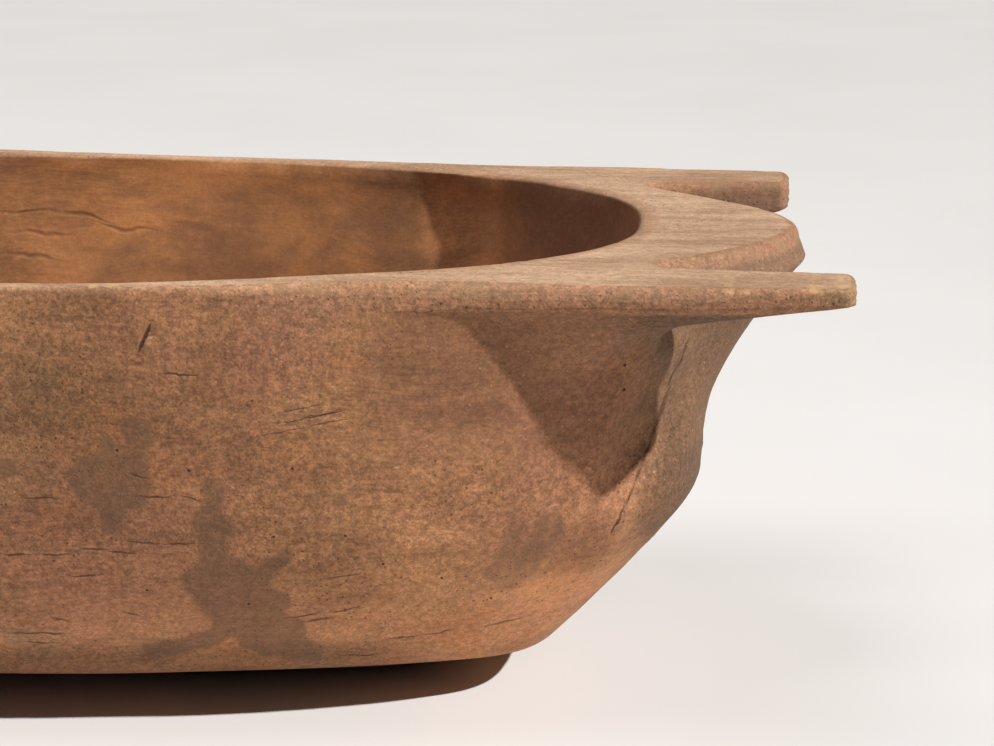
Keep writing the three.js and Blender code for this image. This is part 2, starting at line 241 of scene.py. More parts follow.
# The lines of one quarter from the middle of the long side to the middle of the end: for each,
# where it crosses the outline, the neck below it, its share of the opening, and its heights.
def quarterLines(horn, fineness):
    reach = trough["length"] / 2
    counts = {name: max(3, round(n * fineness)) for name, n in lineCounts.items()}
    steps = {name: np.arange(n) / n for name, n in counts.items()}
    notchNeck = (notchHalfSpread - trough["notchBack"]) / rimHalfWidth(bodyHalfLength)
    openingHalfWidth = trough["width"] / 2 - trough["rimWall"]
    atNotch = 1 - (notchHalfSpread / openingHalfWidth) ** trough["planPowers"][1]
    atNotch = atNotch ** (1 / trough["planPowers"][0])
    tipX = reach - horn["setback"] - trough["tipCorner"]
    tipY = rimHalfWidth(tipX)
    innerY = tipY - trough["tipWidth"]
    tongueReach = reach - trough["tongueSetback"]
    notchX = tongueReach - horn["notch"]
    mouth = (notchX + trough["mouthRun"], notchHalfSpread)
    flankStart = (notchX + trough["notchBack"], notchHalfSpread - trough["notchFlank"])
    bandHeight, root = trough["bandHeight"], trough["hornRootThickness"]
    side, hornHollow, notch, tongue = (hollows[k] for k in ("side", "horn", "notch", "tongue"))
    parts = []

    def stretch(rim, neck, opening, edge, hollow, swell=0.0):
        values = (opening, edge, *hollow, swell)
        parts.append((rim, neck, *(np.broadcast_to(value, len(rim)) for value in values)))

    def inwards(before, name, t):
        neck = neckPoint(mix(1, notchNeck, mix(neckAt[before], neckAt[name], t)))
        return neck, atNotch * mix(openingAt[before], openingAt[name], t)

    # long side, its lines closer together towards the horn's root
    t = steps["side"]
    x = hornRootX * np.sin(t * math.pi / 2) ** 0.9
    rim = np.stack([x, rimHalfWidth(x)], axis=-1)
    stretch(rim, rim, atNotch * openingAt["side"] * x / hornRootX, bandHeight,
            (side[0], mix(side[1], hornHollow[1], t), side[2]))

    # the horn's outer edge, tip and inner edge
    t = steps["outer"]
    x = mix(hornRootX, tipX, t)
    stretch(np.stack([x, rimHalfWidth(x)], axis=-1), *inwards("side", "outer", t),
            mix(bandHeight, horn["edge"], t),
            (mix(side[0], hornHollow[0], ease(t)), hornHollow[1], mix(side[2], hornHollow[2], t)))

    t = steps["tip"]
    angle = mix(math.pi / 2, -math.pi / 2, t)
    across = np.sign(np.sin(angle)) * np.abs(np.sin(angle)) ** trough["tipSquareness"]
    outwards = np.clip(np.cos(angle), 0, 1) ** trough["tipSquareness"]
    rim = np.stack([tipX + trough["tipCorner"] * outwards,
                    mix(innerY, tipY, (1 + across) / 2)], axis=-1)
    stretch(rim, *inwards("outer", "tip", t), mix(horn["edge"], horn["thickness"], t), hornHollow)

    t = steps["inner"]
    rim = np.stack([mix(tipX, mouth[0], t), mix(innerY, mouth[1], t)], axis=-1)
    stretch(rim, *inwards("tip", "inner", t), mix(horn["thickness"], root, t),
            [mix(a, b, t) for a, b in zip(hornHollow, notch)])

    # the notch's rounded corner and the tongue
    t = steps["notch"]
    corner = np.array((notchX - trough["notchBack"], notchHalfSpread))
    rim = cubicCurve((mouth, mix(np.array(mouth), corner, 2 / 3),
                      mix(np.array(flankStart), corner, 2 / 3), flankStart), t)
    stretch(rim, *inwards("inner", "notch", t), root, notch)

    t = np.arange(counts["tongue"] + 1) / counts["tongue"]
    full = ease(t / trough["noseFullAt"])
    rim = cubicCurve((flankStart,
                      (notchX + trough["flankRun"], notchHalfSpread - trough["flankRun"]),
                      (tongueReach, trough["noseHalfWidth"]), (tongueReach, 0)), t)
    opening = 1 - (1 - atNotch * openingAt["notch"]) * (1 - t) ** 2
    stretch(rim, neckPoint(notchNeck * (1 - t)), opening, mix(root, trough["noseHeight"], full),
            [mix(a, b, full) for a, b in zip(notch, tongue)], trough["noseSwell"] * full)

    names = ("rim", "neck", "opening", "edge", "drop", "foot", "hug", "swell")
    lines = {name: np.concatenate([part[k] for part in parts]) for k, name in enumerate(names)}
    along = np.gradient(lines["rim"], axis=0)
    along = along / np.linalg.norm(along, axis=-1, keepdims=True)
    lines["outward"] = np.stack([-along[:, 1], along[:, 0]], axis=-1)
    lines["outward"][0] = (0, 1)
    lines["outward"][-1] = (1, 0)
    return lines


# Plan points lifted to a height.
def raised(plan, z):
    return np.concatenate([plan, np.broadcast_to(z, plan.shape[:-1])[..., None]], axis=-1)


# Wall at height z: the neck drawn in towards the lower edge by (d / h)^p along the sides, and
# at the ends by a hyperbola over the depth d that stays upright and then runs straight in.
def wallPoints(lines, z):
    fraction = lines["neck"][:, 0] / bodyHalfLength
    base = baseOutline(fraction, 0)
    whole = trough["height"] - trough["lowerEdge"]
    depth = trough["height"] - z
    bend, softness = trough["endBend"]
    bent = [np.hypot(d - bend, softness) + d for d in (depth, 0.0, whole)]
    side = (depth / whole) ** trough["sidePower"]
    end = (bent[0] - bent[1]) / (bent[2] - bent[1])
    drawn = mix(side, end, fraction ** trough["endPower"])
    return raised(mix(lines["neck"], base, drawn[:, None]), z)


# Curve that rounds the corner b between a and c: a quadratic with weight hug on b.
def roundedCorner(a, b, c, hug, t):
    weights = [(1 - t) ** 2, 2 * hug * t * (1 - t), t ** 2]
    total = weights[0] + weights[1] + weights[2]
    return (a * weights[0] + b * weights[1] + c * weights[2]) / total


# Angles at which the basin's profile is cut into equal lengths, measured on a middling line.
def basinAngles():
    middling = 240
    fine = (math.pi / 2) * np.linspace(0, 1, 4001) ** 4
    across = middling * np.sin(fine) ** (2 / trough["wallPowers"][1])
    depth = trough["height"] - trough["floorThickness"]
    depth = depth * np.clip(np.cos(fine), 0, 1) ** (2 / trough["floorPower"])
    length = np.concatenate([[0], np.cumsum(np.hypot(np.diff(across), np.diff(depth)))])
    wanted = np.linspace(0, length[-1] - trough["topEase"], rowCounts["basin"] + 1)[1:]
    return np.interp(wanted, length, fine)


# All rows of points along every line: floor, basin wall, rim, band, hollow, wall, underside.
# Gives the points as (rows, lines, 3) and the name of each row's region.
def gridOver(lines):
    top = trough["height"]
    easing = trough["topEase"]
    rows = []
    regions = []

    def sweep(region, shape):
        for i in range(rowCounts[region]):
            rows.append(shape((i + 1) / rowCounts[region]))
            regions.append(region)

    edge = openingPoint(lines["opening"])
    wholeDepth = top - trough["floorThickness"]
    for angle in basinAngles():
        plan = edge * np.array([math.sin(angle) ** (2 / power) for power in trough["wallPowers"]])
        depth = wholeDepth * max(math.cos(angle), 0) ** (2 / trough["floorPower"])
        rows.append(raised(plan, top - max(depth, easing)))
        regions.append("basin")

    innerLow, innerCorner = raised(edge, top - easing), raised(edge, top)
    innerTop = raised(edge * (1 + easing / (trough["width"] / 2 - trough["rimWall"])), top)
    sweep("innerEase", lambda t: roundedCorner(innerLow, innerCorner, innerTop, 1, t))
    along = lines["rim"][:, 0]
    outerEase = mix(easing, trough["hornEase"], plateau(along, *trough["hornEaseRun"]))
    outerEase = mix(outerEase, trough["noseEase"], lines["swell"] / trough["noseSwell"])
    outerTop = raised(lines["rim"] - lines["outward"] * outerEase[:, None], top)
    sweep("top", lambda t: mix(innerTop, outerTop, t))
    outerCorner, outerLow = raised(lines["rim"], top), raised(lines["rim"], top - outerEase)
    sweep("topEase", lambda t: roundedCorner(outerTop, outerCorner, outerLow, 1, t))

    outline = lines["rim"] + lines["outward"] * lines["swell"][:, None]
    lower = raised(outline, top - lines["edge"])
    cornerZ = top - lines["drop"]
    footZ = cornerZ - lines["foot"]
    corner, foot = wallPoints(lines, cornerZ), wallPoints(lines, footZ)
    hug = lines["hug"][:, None]
    bandEase = mix(*trough["bandEase"], ease(along, *trough["bandEaseRun"]))
    bandEnd = mix(outerLow, lower, (1 - bandEase / lines["edge"])[:, None])
    first = 0.05                   # share of the hollow's curve that the rounded edge takes up
    under = roundedCorner(lower, corner, foot, hug, first)
    sweep("band", lambda t: mix(outerLow, bandEnd, t))
    sweep("bandEase", lambda t: roundedCorner(bandEnd, lower, under, 1, t))
    sweep("hollow", lambda t: roundedCorner(lower, corner, foot, hug, mix(first, 1, t)))

    wallEnd = trough["lowerEdge"] + trough["baseRound"]
    sweep("wall", lambda t: wallPoints(lines, mix(footZ, wallEnd, t)))
    low = rows[-1]
    turn = wallPoints(lines, np.full_like(footZ, trough["lowerEdge"]))
    flat = raised(baseOutline(lines["neck"][:, 0] / bodyHalfLength, trough["footInset"]), 0.0)
    inwards = mix(turn, flat, trough["baseRound"] / trough["footInset"])
    sweep("baseRound", lambda t: roundedCorner(low, turn, inwards, 1, t))
    sweep("under", lambda t: mix(inwards, flat, t))
    toPole = rowCounts["base"] / (rowCounts["base"] + 1)
    sweep("base", lambda t: flat * np.array([1 - t * toPole, 1 - t * toPole, 1]))
    return np.stack(rows), regions


# The whole way round: four quarters mirrored in turn, each seam counted once.
def wholeGrid():
    pieces = []
    for k, (horn, fineness, signX, signY) in enumerate(quarters):
        points, regions = gridOver(quarterLines(horns[horn], fineness))
        points = points * np.array([signX, signY, 1.0])
        if signX == signY:         # here the lines run the other way round
            points = points[:, ::-1]
        first = 0 if k == 0 else 1
        last = -1 if k == len(quarters) - 1 else None
        pieces.append(points[:, first:last])
    return np.concatenate(pieces, axis=1), regions


# Unit normals of the grid: the cross product of the steps to the neighbours along and round.
def gridNormals(points):
    along = np.gradient(points, axis=0)
    around = np.roll(points, -1, axis=1) - np.roll(points, 1, axis=1)
    normal = np.cross(along, around)
    return normal / np.maximum(np.linalg.norm(normal, axis=-1, keepdims=True), 1e-9)


# For each region of the grid, 1 on its rows and 0 on the others.
def regionMasks(regions):
    names = np.array(regions)
    return {name: (names == name).astype(float)[:, None] for name in set(regions)}


# How the hand tools and the wear changed the plain form, in millimetres. Lengths and sides are
# measured from the trough's middle, depths from the rim down. Where two numbers limit a zone it
# starts at the first and is full at the second, and of four, the last two are where it ends.
wear = {
    "frontDip": 12,                # how far the front rim curves in before the right horn
    "dipLength": (395, 88),        # its middle and spread
    "dipSide": (60, 180),
    "hornSpread": 5,               # how far the front right horn stands out
    "spreadLength": (470, 600),
    "spreadSide": (120, 150),
    "bentDepth": (55, 215),        # depth over which both die out
    "undulation": 1.4,
    "waveCells": ((170, 90, 90), (80, 45, 45)),
    "cutDepthWall": 0.7,
    "cutDepthEnd": 1.6,
    "cutDepthTop": 0.35,
    "cutCells": (95, 60, 52),
    "cutDepthBasin": 1.4,
    "basinCutCells": (120, 75, 95),
    "smoothFloor": (170, 220),     # depth at which the basin's cuts end
    "endLength": (455, 540),       # where the end wall's larger cuts begin
    "hewnDepth": (14, 48),
    "ridgeTop": (543, 53),         # length and depth at which the corner's ridge starts
    "ridgeSlope": 0.37,            # how far it comes in for each millimetre down
    "ridgeHeight": 2.5,
    "ridgeWidth": 18,
    "ridgeSway": 1.3,
    "ridgeCells": (400, 400, 34),
    "ridgeDepth": (42, 62, 165, 215),
    "ridgeSide": (75, 105),
    "scoopDepth": 3.0,
    "scoopPlace": (-48, 30),       # its middle and spread beside the ridge
    "scoopEnd": (90, 170),
    "cornerCut": 24,               # how far the corner is hewn back below the notch
    "cornerBeside": (-30, -3, 5, 27),
    "cornerDepth": (46, 84, 104, 150),
    "cornerSide": (66, 104),
    "basinLean": 6,                # how much thicker the long wall gets just below the rim
    "leanDepth": (3, 80),
    "basinCorner": 4.4,
    "basinCornerPlace": (396, 62), # its length and how far it reaches either way
    "basinCornerDepth": (2, 30),
    "basinSide": (100, 150),
    "basinDepth": (150, 215),
    "planes": ((158, 34, 2.0), (205, 30, 1.6)),  # across the end wall: depth, half-width, height
    "planeSide": (90, 140),
    "edgeChips": 1.0,
    "chipCells": ((16, 9, 9), (6, 4, 4)),
    "chipThreshold": 0.15,
    "hornEndLength": (588, 600),
    "hornEndSide": (120, 140),
    "hornEndCells": (50, 2.2, 2.2),
}
seeds = {"waves": 3, "ripples": 5, "cuts": 11, "basinCuts": 23, "chips": 31, "splinters": 37,
         "hornEnds": 41, "ridge": 53}


# The front rim curves in before the right horn, by a bell along X, and the front right horn
# stands out a little. Across the rim's top the shift grows row by row.
def bentRim(points, part):
    p = points.copy()
    x, y = p[..., 0], p[..., 1]
    level = 1 - ease(trough["height"] - p[..., 2], *wear["bentDepth"])
    outer = part["hollow"] + part["wall"] + part["band"] + part["bandEase"] + part["topEase"]
    acrossTop = np.cumsum(part["top"], axis=0) * part["top"] / rowCounts["top"]
    inward = bell(x, *wear["dipLength"]) * ease(-y, *wear["dipSide"]) * level
    p[..., 1] += wear["frontDip"] * inward * (outer + acrossTop)
    outwards = ease(x, *wear["spreadLength"]) * ease(-y, *wear["spreadSide"]) * level
    p[..., 1] -= wear["hornSpread"] * outwards * (1 - part["basin"])
    return p


# Slow waves of two sizes, weaker on the rim's top, none underneath.
def slowWaves(p, part):
    wide, narrow = wear["waveCells"]
    waves = smoothNoise(p, wide, seeds["waves"]) + 0.5 * smoothNoise(p, narrow, seeds["ripples"])
    standing = 1 - part["base"] - part["under"]
    return wear["undulation"] * waves * standing * (1 - 0.6 * part["top"])


# Adze cuts on the walls, larger on the end walls, in the basin and, shallow, on the rim's top.
def toolCuts(p, part, walls, endness, down):
    cuts = adzeCuts(p, wear["cutCells"], seeds["cuts"]) - 0.5
    depth = mix(wear["cutDepthWall"], wear["cutDepthEnd"], endness) * walls
    depth = depth + wear["cutDepthTop"] * part["top"]
    inner = adzeCuts(p, wear["basinCutCells"], seeds["basinCuts"]) - 0.5
    above = 1 - ease(down, *wear["smoothFloor"])
    return cuts * depth + inner * wear["cutDepthBasin"] * part["basin"] * above


# The ridge where the long wall meets the end wall, a tent over a line that comes in on its way
# down, with a shallow scoop beside it; and, as a share, where the corner is hewn back.
def hewnCorner(p, walls, length, side, down):
    start, depth = wear["ridgeTop"]
    ridgeX = start - wear["ridgeSlope"] * (down - depth)
    ridgeX = ridgeX + wear["ridgeSway"] * smoothNoise(p, wear["ridgeCells"], seeds["ridge"])
    beside = length - ridgeX
    ridge = tent(beside, wear["ridgeWidth"], wear["ridgeHeight"])
    scoop = wear["scoopDepth"] * bell(beside, *wear["scoopPlace"])
    scoop = scoop * (1 - ease(down, *wear["scoopEnd"]))
    corner = ease(side, *wear["ridgeSide"]) * plateau(down, *wear["ridgeDepth"])
    hewn = plateau(beside, *wear["cornerBeside"]) * plateau(down, *wear["cornerDepth"])
    return (ridge - scoop) * corner * walls, hewn * ease(side, *wear["cornerSide"]) * walls


# The basin's long walls lean in a little and turn at a blunt corner before the ends.
def leaningWalls(part, length, side, down):
    longWall = part["basin"] * ease(side, *wear["basinSide"])
    longWall = longWall * (1 - ease(down, *wear["basinDepth"]))
    lean = wear["basinLean"] * ease(down, *wear["leanDepth"])
    place, width = wear["basinCornerPlace"]
    turn = tent(length - place, width, wear["basinCorner"]) * ease(down, *wear["basinCornerDepth"])
    return (lean - turn) * longWall


# Small losses along the edges, where noise of two sizes passes a threshold.
def edgeLosses(p, part):
    coarse, fine = wear["chipCells"]
    chips = 0.6 * smoothNoise(p, coarse, seeds["chips"])
    chips = chips + 0.4 * smoothNoise(p, fine, seeds["splinters"])
    edges = part["topEase"] + part["bandEase"] + part["innerEase"]
    return -np.clip(chips - wear["chipThreshold"], 0, 1) * wear["edgeChips"] * edges


# Adds the marks of making and use to the plain grid: most push it along its normals, the hewn
# corners go straight across and the rough cut ends of the horns straight along.
def wornGrid(points, regions):
    part = regionMasks(regions)
    p = bentRim(points, part)
    normal = gridNormals(p)
    length, side = np.abs(p[..., 0]), np.abs(p[..., 1])
    signX, signY = np.sign(p[..., 0]), np.sign(p[..., 1])
    down = trough["height"] - p[..., 2]
    endness = ease(length, *wear["endLength"])
    walls = (part["hollow"] + part["wall"]) * ease(down, *wear["hewnDepth"])
    ridge, hewn = hewnCorner(p, walls, length, side, down)
    planes = sum(tent(down - depth, width, height) for depth, width, height in wear["planes"])
    planes = planes * endness * (1 - ease(side, *wear["planeSide"])) * part["wall"]
    push = slowWaves(p, part) + toolCuts(p, part, walls, endness, down) + ridge
    push = push + leaningWalls(part, length, side, down) + planes + edgeLosses(p, part)
    p = p + normal * push[..., None]
    p[..., 1] -= signY * wear["cornerCut"] * hewn

    tipness = ease(length, *wear["hornEndLength"]) * ease(side, *wear["hornEndSide"])
    tipness = tipness * (part["band"] + part["topEase"]) * np.abs(normal[..., 0]) ** 4
    p[..., 0] += signX * tipness * smoothNoise(p, wear["hornEndCells"], seeds["hornEnds"])
    p[..., 2] = np.where(part["base"] > 0, 0, np.maximum(p[..., 2], 0))
    return p


# Old stains on the front wall as rounded strokes: start and end (x, height) and half-width, in
# millimetres, in the order they are seen from the left.
stains = [
    ((213, 177), (212, 164), 13), ((226, 182), (230, 166), 15), ((219, 156), (220, 148), 9),
    ((223, 193), (227, 184), 8), ((236, 202), (237, 199), 10), ((155, 178), (163, 177), 8),
    ((280, 167), (281, 157), 5), ((275, 146), (279, 141), 10), ((277, 142), (274, 117), 8),
    ((266, 101), (286, 97), 13), ((273, 88), (302, 88), 13), ((277, 74), (310, 68), 11),
    ((289, 56), (322, 48), 10), ((230, 48), (276, 62), 6), ((297, 100), (317, 121), 5),
    ((288, 114), (290, 104), 6), ((350, 157), (351, 156), 5),
]
faintStains = [((466, 132), (441, 94), 9), ((450, 128), (436, 100), 8)]
farOutside = -60.0                 # depth given to what lies nowhere near a stroke


# How deep each point of the front wall lies inside the strokes: half-width minus the distance
# to the nearest stroke, in millimetres, negative outside them.
def strokeDepth(x, z, strokes, front):
    depth = np.full(x.shape, farOutside)
    for start, end, halfWidth in strokes:
        a, b = np.array(start, float), np.array(end, float)
        along = b - a
        share = ((x - a[0]) * along[0] + (z - a[1]) * along[1]) / max(along @ along, 1e-6)
        share = np.clip(share, 0, 1)
        distance = np.hypot(x - a[0] - share * along[0], z - a[1] - share * along[1])
        depth = np.maximum(depth, halfWidth - distance)
    return depth * front + farOutside * (1 - front)


# Where the finish of the wood and its painted shade change, as (none, full), measured like the wear.
finishAndShade = {
    "frontSide": (60, 100),
    "tipLength": (590, 600),
    "tipGrain": (606, 634),
    "tipSide": (120, 140),
    "noseLength": (535, 560),
    "noseSide": (105, 125),
    "backHornSide": (115, 130),
    "rimEdgeLength": (380, 460),
    "bandLength": (250, 340),
    "hollowLength": (440, 530),
    "hollowDepth": (30, 75),
    "endLength": (498, 540),
    "endBandSide": (138, 150),
    # where the painted shade under the horns lies, standing in for their cast shadow
    "underHornShadeLength": (325, 400),
    "underHornShadeFading": (440, 500),
    "underHornShadeDepth": (85, 135),
}


# Shares from 0 to 1 that tell the wood's material where it is, for every point of the grid,
# each a product of smooth steps; the two stains are depths in millimetres.
def surfaceShares(points, regions):
    part = regionMasks(regions)
    x, y, z = points[..., 0], points[..., 1], points[..., 2]
    length, side, down = np.abs(x), np.abs(y), trough["height"] - z

    def on(name, values):
        return ease(values, *finishAndShade[name])

    outer = part["hollow"] + part["wall"] + part["baseRound"]
    band = part["band"] + part["bandEase"]
    front = on("frontSide", -y) * (outer + band)
    tips = on("tipLength", length) * on("tipSide", side)
    edges = band + part["topEase"] * 0.8
    # the tongue's flank and the back horn's side: partly their own colour, partly painted shade that
    # dims the sun on them
    noseSide = np.maximum((1 - on("noseSide", side)) * 0.75, on("backHornSide", y))
    noseSide = edges * noseSide * on("noseLength", length)
    return {
        "inside": part["basin"] + part["innerEase"] * 0.3,
        "topFace": part["top"] + part["innerEase"] * 0.8 + part["topEase"] * 0.25 * (1 - noseSide),
        "rimEdge": part["topEase"] + part["innerEase"] * 0.7
                   + part["bandEase"] * 0.4 * on("rimEdgeLength", length),
        "band": (part["band"] + part["bandEase"] * 0.7 + part["topEase"] * 0.6)
                * on("bandLength", length),
        # painted shade in the hollow under the band, where the rim and horns shade the wall
        "hollow": part["hollow"] * (1 - on("hollowDepth", down)) * on("hollowLength", length),
        # the end walls: partly the end grain's darker colour, partly painted shade that dims the sun
        # on them
        "endGrainAndShade": on("endLength", length) * (outer + band * (1 - on("endBandSide", side))),
        # painted shade on the wall under the horns, standing in for the shadow they cast there
        "underHornShade": outer * on("underHornShadeLength", length) * (1 - 0.35 * on("underHornShadeFading", length))
                 * (1 - on("underHornShadeDepth", down)),
        "noseSide": noseSide,
        "hornTip": tips * (part["band"] + part["topEase"]) * on("tipGrain", length),
        "front": front,
        "stain": strokeDepth(x, z, stains, front),
        "faintStain": strokeDepth(x, z, faintStains, front),
    }


# Turns the grid into a closed mesh in metres, with a pole on the floor and one underneath, and
# gives the piece and the names of the shares stored on it.
def buildTrough():
    plain, regions = wholeGrid()
    worn = wornGrid(plain, regions)
    rowCount, lineCount = worn.shape[:2]
    floorPole = np.array([[0, 0, worn[0, :, 2].mean()]])
    basePole = np.array([[0, 0, 0.0]])
    verts = np.concatenate([worn.reshape(-1, 3), floorPole, basePole]) * 0.001
    rowStart = np.arange(rowCount - 1)[:, None] * lineCount
    here = np.arange(lineCount)
    after = (here + 1) % lineCount
    below = rowStart + lineCount
    quads = np.stack([rowStart + here, below + here, below + after, rowStart + after], axis=-1)
    last = (rowCount - 1) * lineCount
    pole = np.full(lineCount, rowCount * lineCount)
    floorFan = np.stack([pole, here, after], axis=-1)
    baseFan = np.stack([pole + 1, last + after, last + here], axis=-1)
    faces = quads.reshape(-1, 4).tolist() + floorFan.tolist() + baseFan.tolist()
    mesh = bpy.data.meshes.new("wornTrough")
    mesh.from_pydata(verts.tolist(), [], faces)
    mesh.update()
    mesh.polygons.foreach_set("use_smooth", [True] * len(mesh.polygons))

    shares = surfaceShares(worn, regions)
    for name, values in shares.items():
        values = np.broadcast_to(values, (rowCount, lineCount)).reshape(-1)
        values = np.concatenate([values, [1.0 if name == "inside" else 0.0, 0.0]])
        attribute = mesh.attributes.new(name, "FLOAT", "POINT")
        attribute.data.foreach_set("value", values.astype(np.float32))
    piece = bpy.data.objects.new("wornTrough", mesh)
    bpy.context.scene.collection.objects.link(piece)
    print("trough built:", len(mesh.polygons), "faces")
    return piece, list(shares)


# Adds a node, sets its options, and gives its inputs values or links.
def put(tree, kind, values=None, **options):
    node = tree.nodes.new(kind)
    for name, value in options.items():
        setattr(node, name, value)
    for name, value in (values or {}).items():
        if isinstance(value, bpy.types.NodeSocket):
            tree.links.new(value, node.inputs[name])
        else:
            node.inputs[name].default_value = value
    return node


# One step of arithmetic on numbers or sockets.
def calc(tree, operation, a, b=0.0, c=0.0, clamp=False):
    node = put(tree, "ShaderNodeMath", {0: a, 1: b, 2: c}, operation=operation, use_clamp=clamp)
    return node.outputs[0]


# Product of two or more numbers or sockets.
def times(tree, a, *others):
    for other in others:
        a = calc(tree, "MULTIPLY", a, other)
    return a


# a * factor + offset.
def scaled(tree, a, factor, offset):
    return calc(tree, "MULTIPLY_ADD", a, factor, offset)


# One step of vector arithmetic, as a vector, or as a number where output says Value.
def vecCalc(tree, operation, a, b, output="Vector"):
    return put(tree, "ShaderNodeVectorMath", {0: a, 1: b}, operation=operation).outputs[output]


# Smooth step on a socket: atLow at low, atHigh at high, level beyond both.
def fade(tree, value, low, high, atLow=0.0, atHigh=1.0):
    limits = {"From Min": low, "From Max": high, "To Min": atLow, "To Max": atHigh}
    node = put(tree, "ShaderNodeMapRange", {"Value": value, **limits},
               interpolation_type="SMOOTHSTEP")
    return node.outputs["Result"]


# Colour a where factor is 0 and b where it is 1, or the two blended in another way.
def mixColor(tree, factor, a, b, blend="MIX"):
    node = put(tree, "ShaderNodeMix", {0: factor, 6: a, 7: b}, data_type="RGBA", blend_type=blend)
    return node.outputs[2]


# Colour times a number.
def tint(tree, base, factor):
    grey = put(tree, "ShaderNodeCombineColor", {0: factor, 1: factor, 2: factor}).outputs[0]
    return mixColor(tree, 1.0, base, grey, "MULTIPLY")


# Layered noise from 0 to 1 at a position in metres; output says Color for three at once.
def noise(tree, position, scale, detail=3.0, roughness=0.5, output="Fac"):
    values = {"Vector": position, "Scale": scale, "Detail": detail, "Roughness": roughness}
    return put(tree, "ShaderNodeTexNoise", values).outputs[output]


# Position shifted by noise, by up to half of reach each way along each axis.
def swayed(tree, position, scale, reach):
    drift = noise(tree, position, scale, output="Color")
    drift = vecCalc(tree, "SUBTRACT", drift, (0.5, 0.5, 0.5))
    return vecCalc(tree, "ADD", position, vecCalc(tree, "MULTIPLY", drift, reach))


# sRGB 0-255 to the linear colour that shader sockets take.
def colour(r, g, b):
    channels = [c / 255 for c in (r, g, b)]
    linear = [c / 12.92 if c <= 0.04045 else ((c + 0.055) / 1.055) ** 2.4 for c in channels]
    return (*linear, 1.0)


# A new group with its named inputs and outputs, each given as (name, socket type, default).
def newGroup(name, inputs, outputs):
    group = bpy.data.node_groups.new(name, "ShaderNodeTree")
    for label, kind, default in inputs:
        socket = group.interface.new_socket(name=label, in_out="INPUT", socket_type=kind)
        if default is not None:
            socket.default_value = default
    for label, kind in outputs:
        group.interface.new_socket(name=label, in_out="OUTPUT", socket_type=kind)
    return group, group.nodes.new("NodeGroupInput"), group.nodes.new("NodeGroupOutput")


# The layers of the wood's figure: how far X is squeezed to draw them out along the grain,
# whether they follow the grain's own sway, and the noise's scale, detail and roughness.
figureLayers = {
    "streak": (0.12, True, 55.0, 5.0, 0.6),
    "fibre": (0.07, True, 560.0, 3.0, 0.6),
    "mottle": (0.75, False, 10.0, 7.0, 0.62),
    "crumb": (1.0, False, 240.0, 4.0, 0.65),
    "fine": (1.0, False, 620.0, 3.0, 0.7),
}


# Wood figure that runs along X, one output from 0 to 1 for each layer.
def figureGroup():
    group, given, result = newGroup("woodFigure", [("Position", "NodeSocketVector", None)],
                                    [(name, "NodeSocketFloat") for name in figureLayers])
    position = given.outputs["Position"]
    grain = swayed(group, position, 5.0, (0.0, 0.06, 0.06))
    for name, (squeeze, follows, scale, detail, roughness) in figureLayers.items():
        course = grain if follows else position
        if squeeze < 1.0:
            course = vecCalc(group, "MULTIPLY", course, (squeeze, 1.0, 1.0))
        group.links.new(noise(group, course, scale, detail, roughness), result.inputs[name])
    return group


# Round specks: 1 inside a random share of scattered dots, by the distance to the nearest dot.
def speckGroup():
    group, given, result = newGroup("woodSpecks", [
        ("Position", "NodeSocketVector", None),
        ("Scale", "NodeSocketFloat", 100.0),
        ("Radius", "NodeSocketFloat", 0.2),
        ("Share", "NodeSocketFloat", 0.3),
    ], [("Mask", "NodeSocketFloat")])
    cells = put(group, "ShaderNodeTexVoronoi",
                {"Vector": given.outputs["Position"], "Scale": given.outputs["Scale"]})
    chance = put(group, "ShaderNodeSeparateColor", {"Color": cells.outputs["Color"]})
    size = times(group, given.outputs["Radius"], scaled(group, chance.outputs[1], 0.8, 0.5))
    dot = fade(group, cells.outputs["Distance"], size, times(group, size, 0.55))
    kept = calc(group, "LESS_THAN", chance.outputs[0], given.outputs["Share"])
    group.links.new(times(group, dot, kept), result.inputs["Mask"])
    return group


# Marks of one kind, all turned and stretched alike: the position is measured along and across
# the mark in half-lengths and half-widths, which makes every mark a unit circle, and the
# distance to the nearest centre gives the mask, 1 in its core and 0 outside.
def markField(tree, position, kind):
    tilt = math.radians(kind["tilt"])
    size = [value / 1000 for value in kind["size"]]
    axes = [(math.cos(tilt) / size[0], 0.0, math.sin(tilt) / size[0]),
            (-math.sin(tilt) / size[1], 0.0, math.cos(tilt) / size[1])]
    measured = [vecCalc(tree, "DOT_PRODUCT", position, axis, "Value") for axis in axes]
    point = put(tree, "ShaderNodeCombineXYZ", {"X": measured[0], "Y": measured[1]}).outputs[0]
    nearest = None
    for x, z in kind["places"]:
        centre = [(x * axis[0] + z * axis[2]) / 1000 for axis in axes]
        distance = vecCalc(tree, "DISTANCE", point, (*centre, 0.0), "Value")
        nearest = calc(tree, "MINIMUM", nearest, distance) if nearest else distance
    return fade(tree, nearest, 1.0, kind["core"], 0.0, kind["strength"])


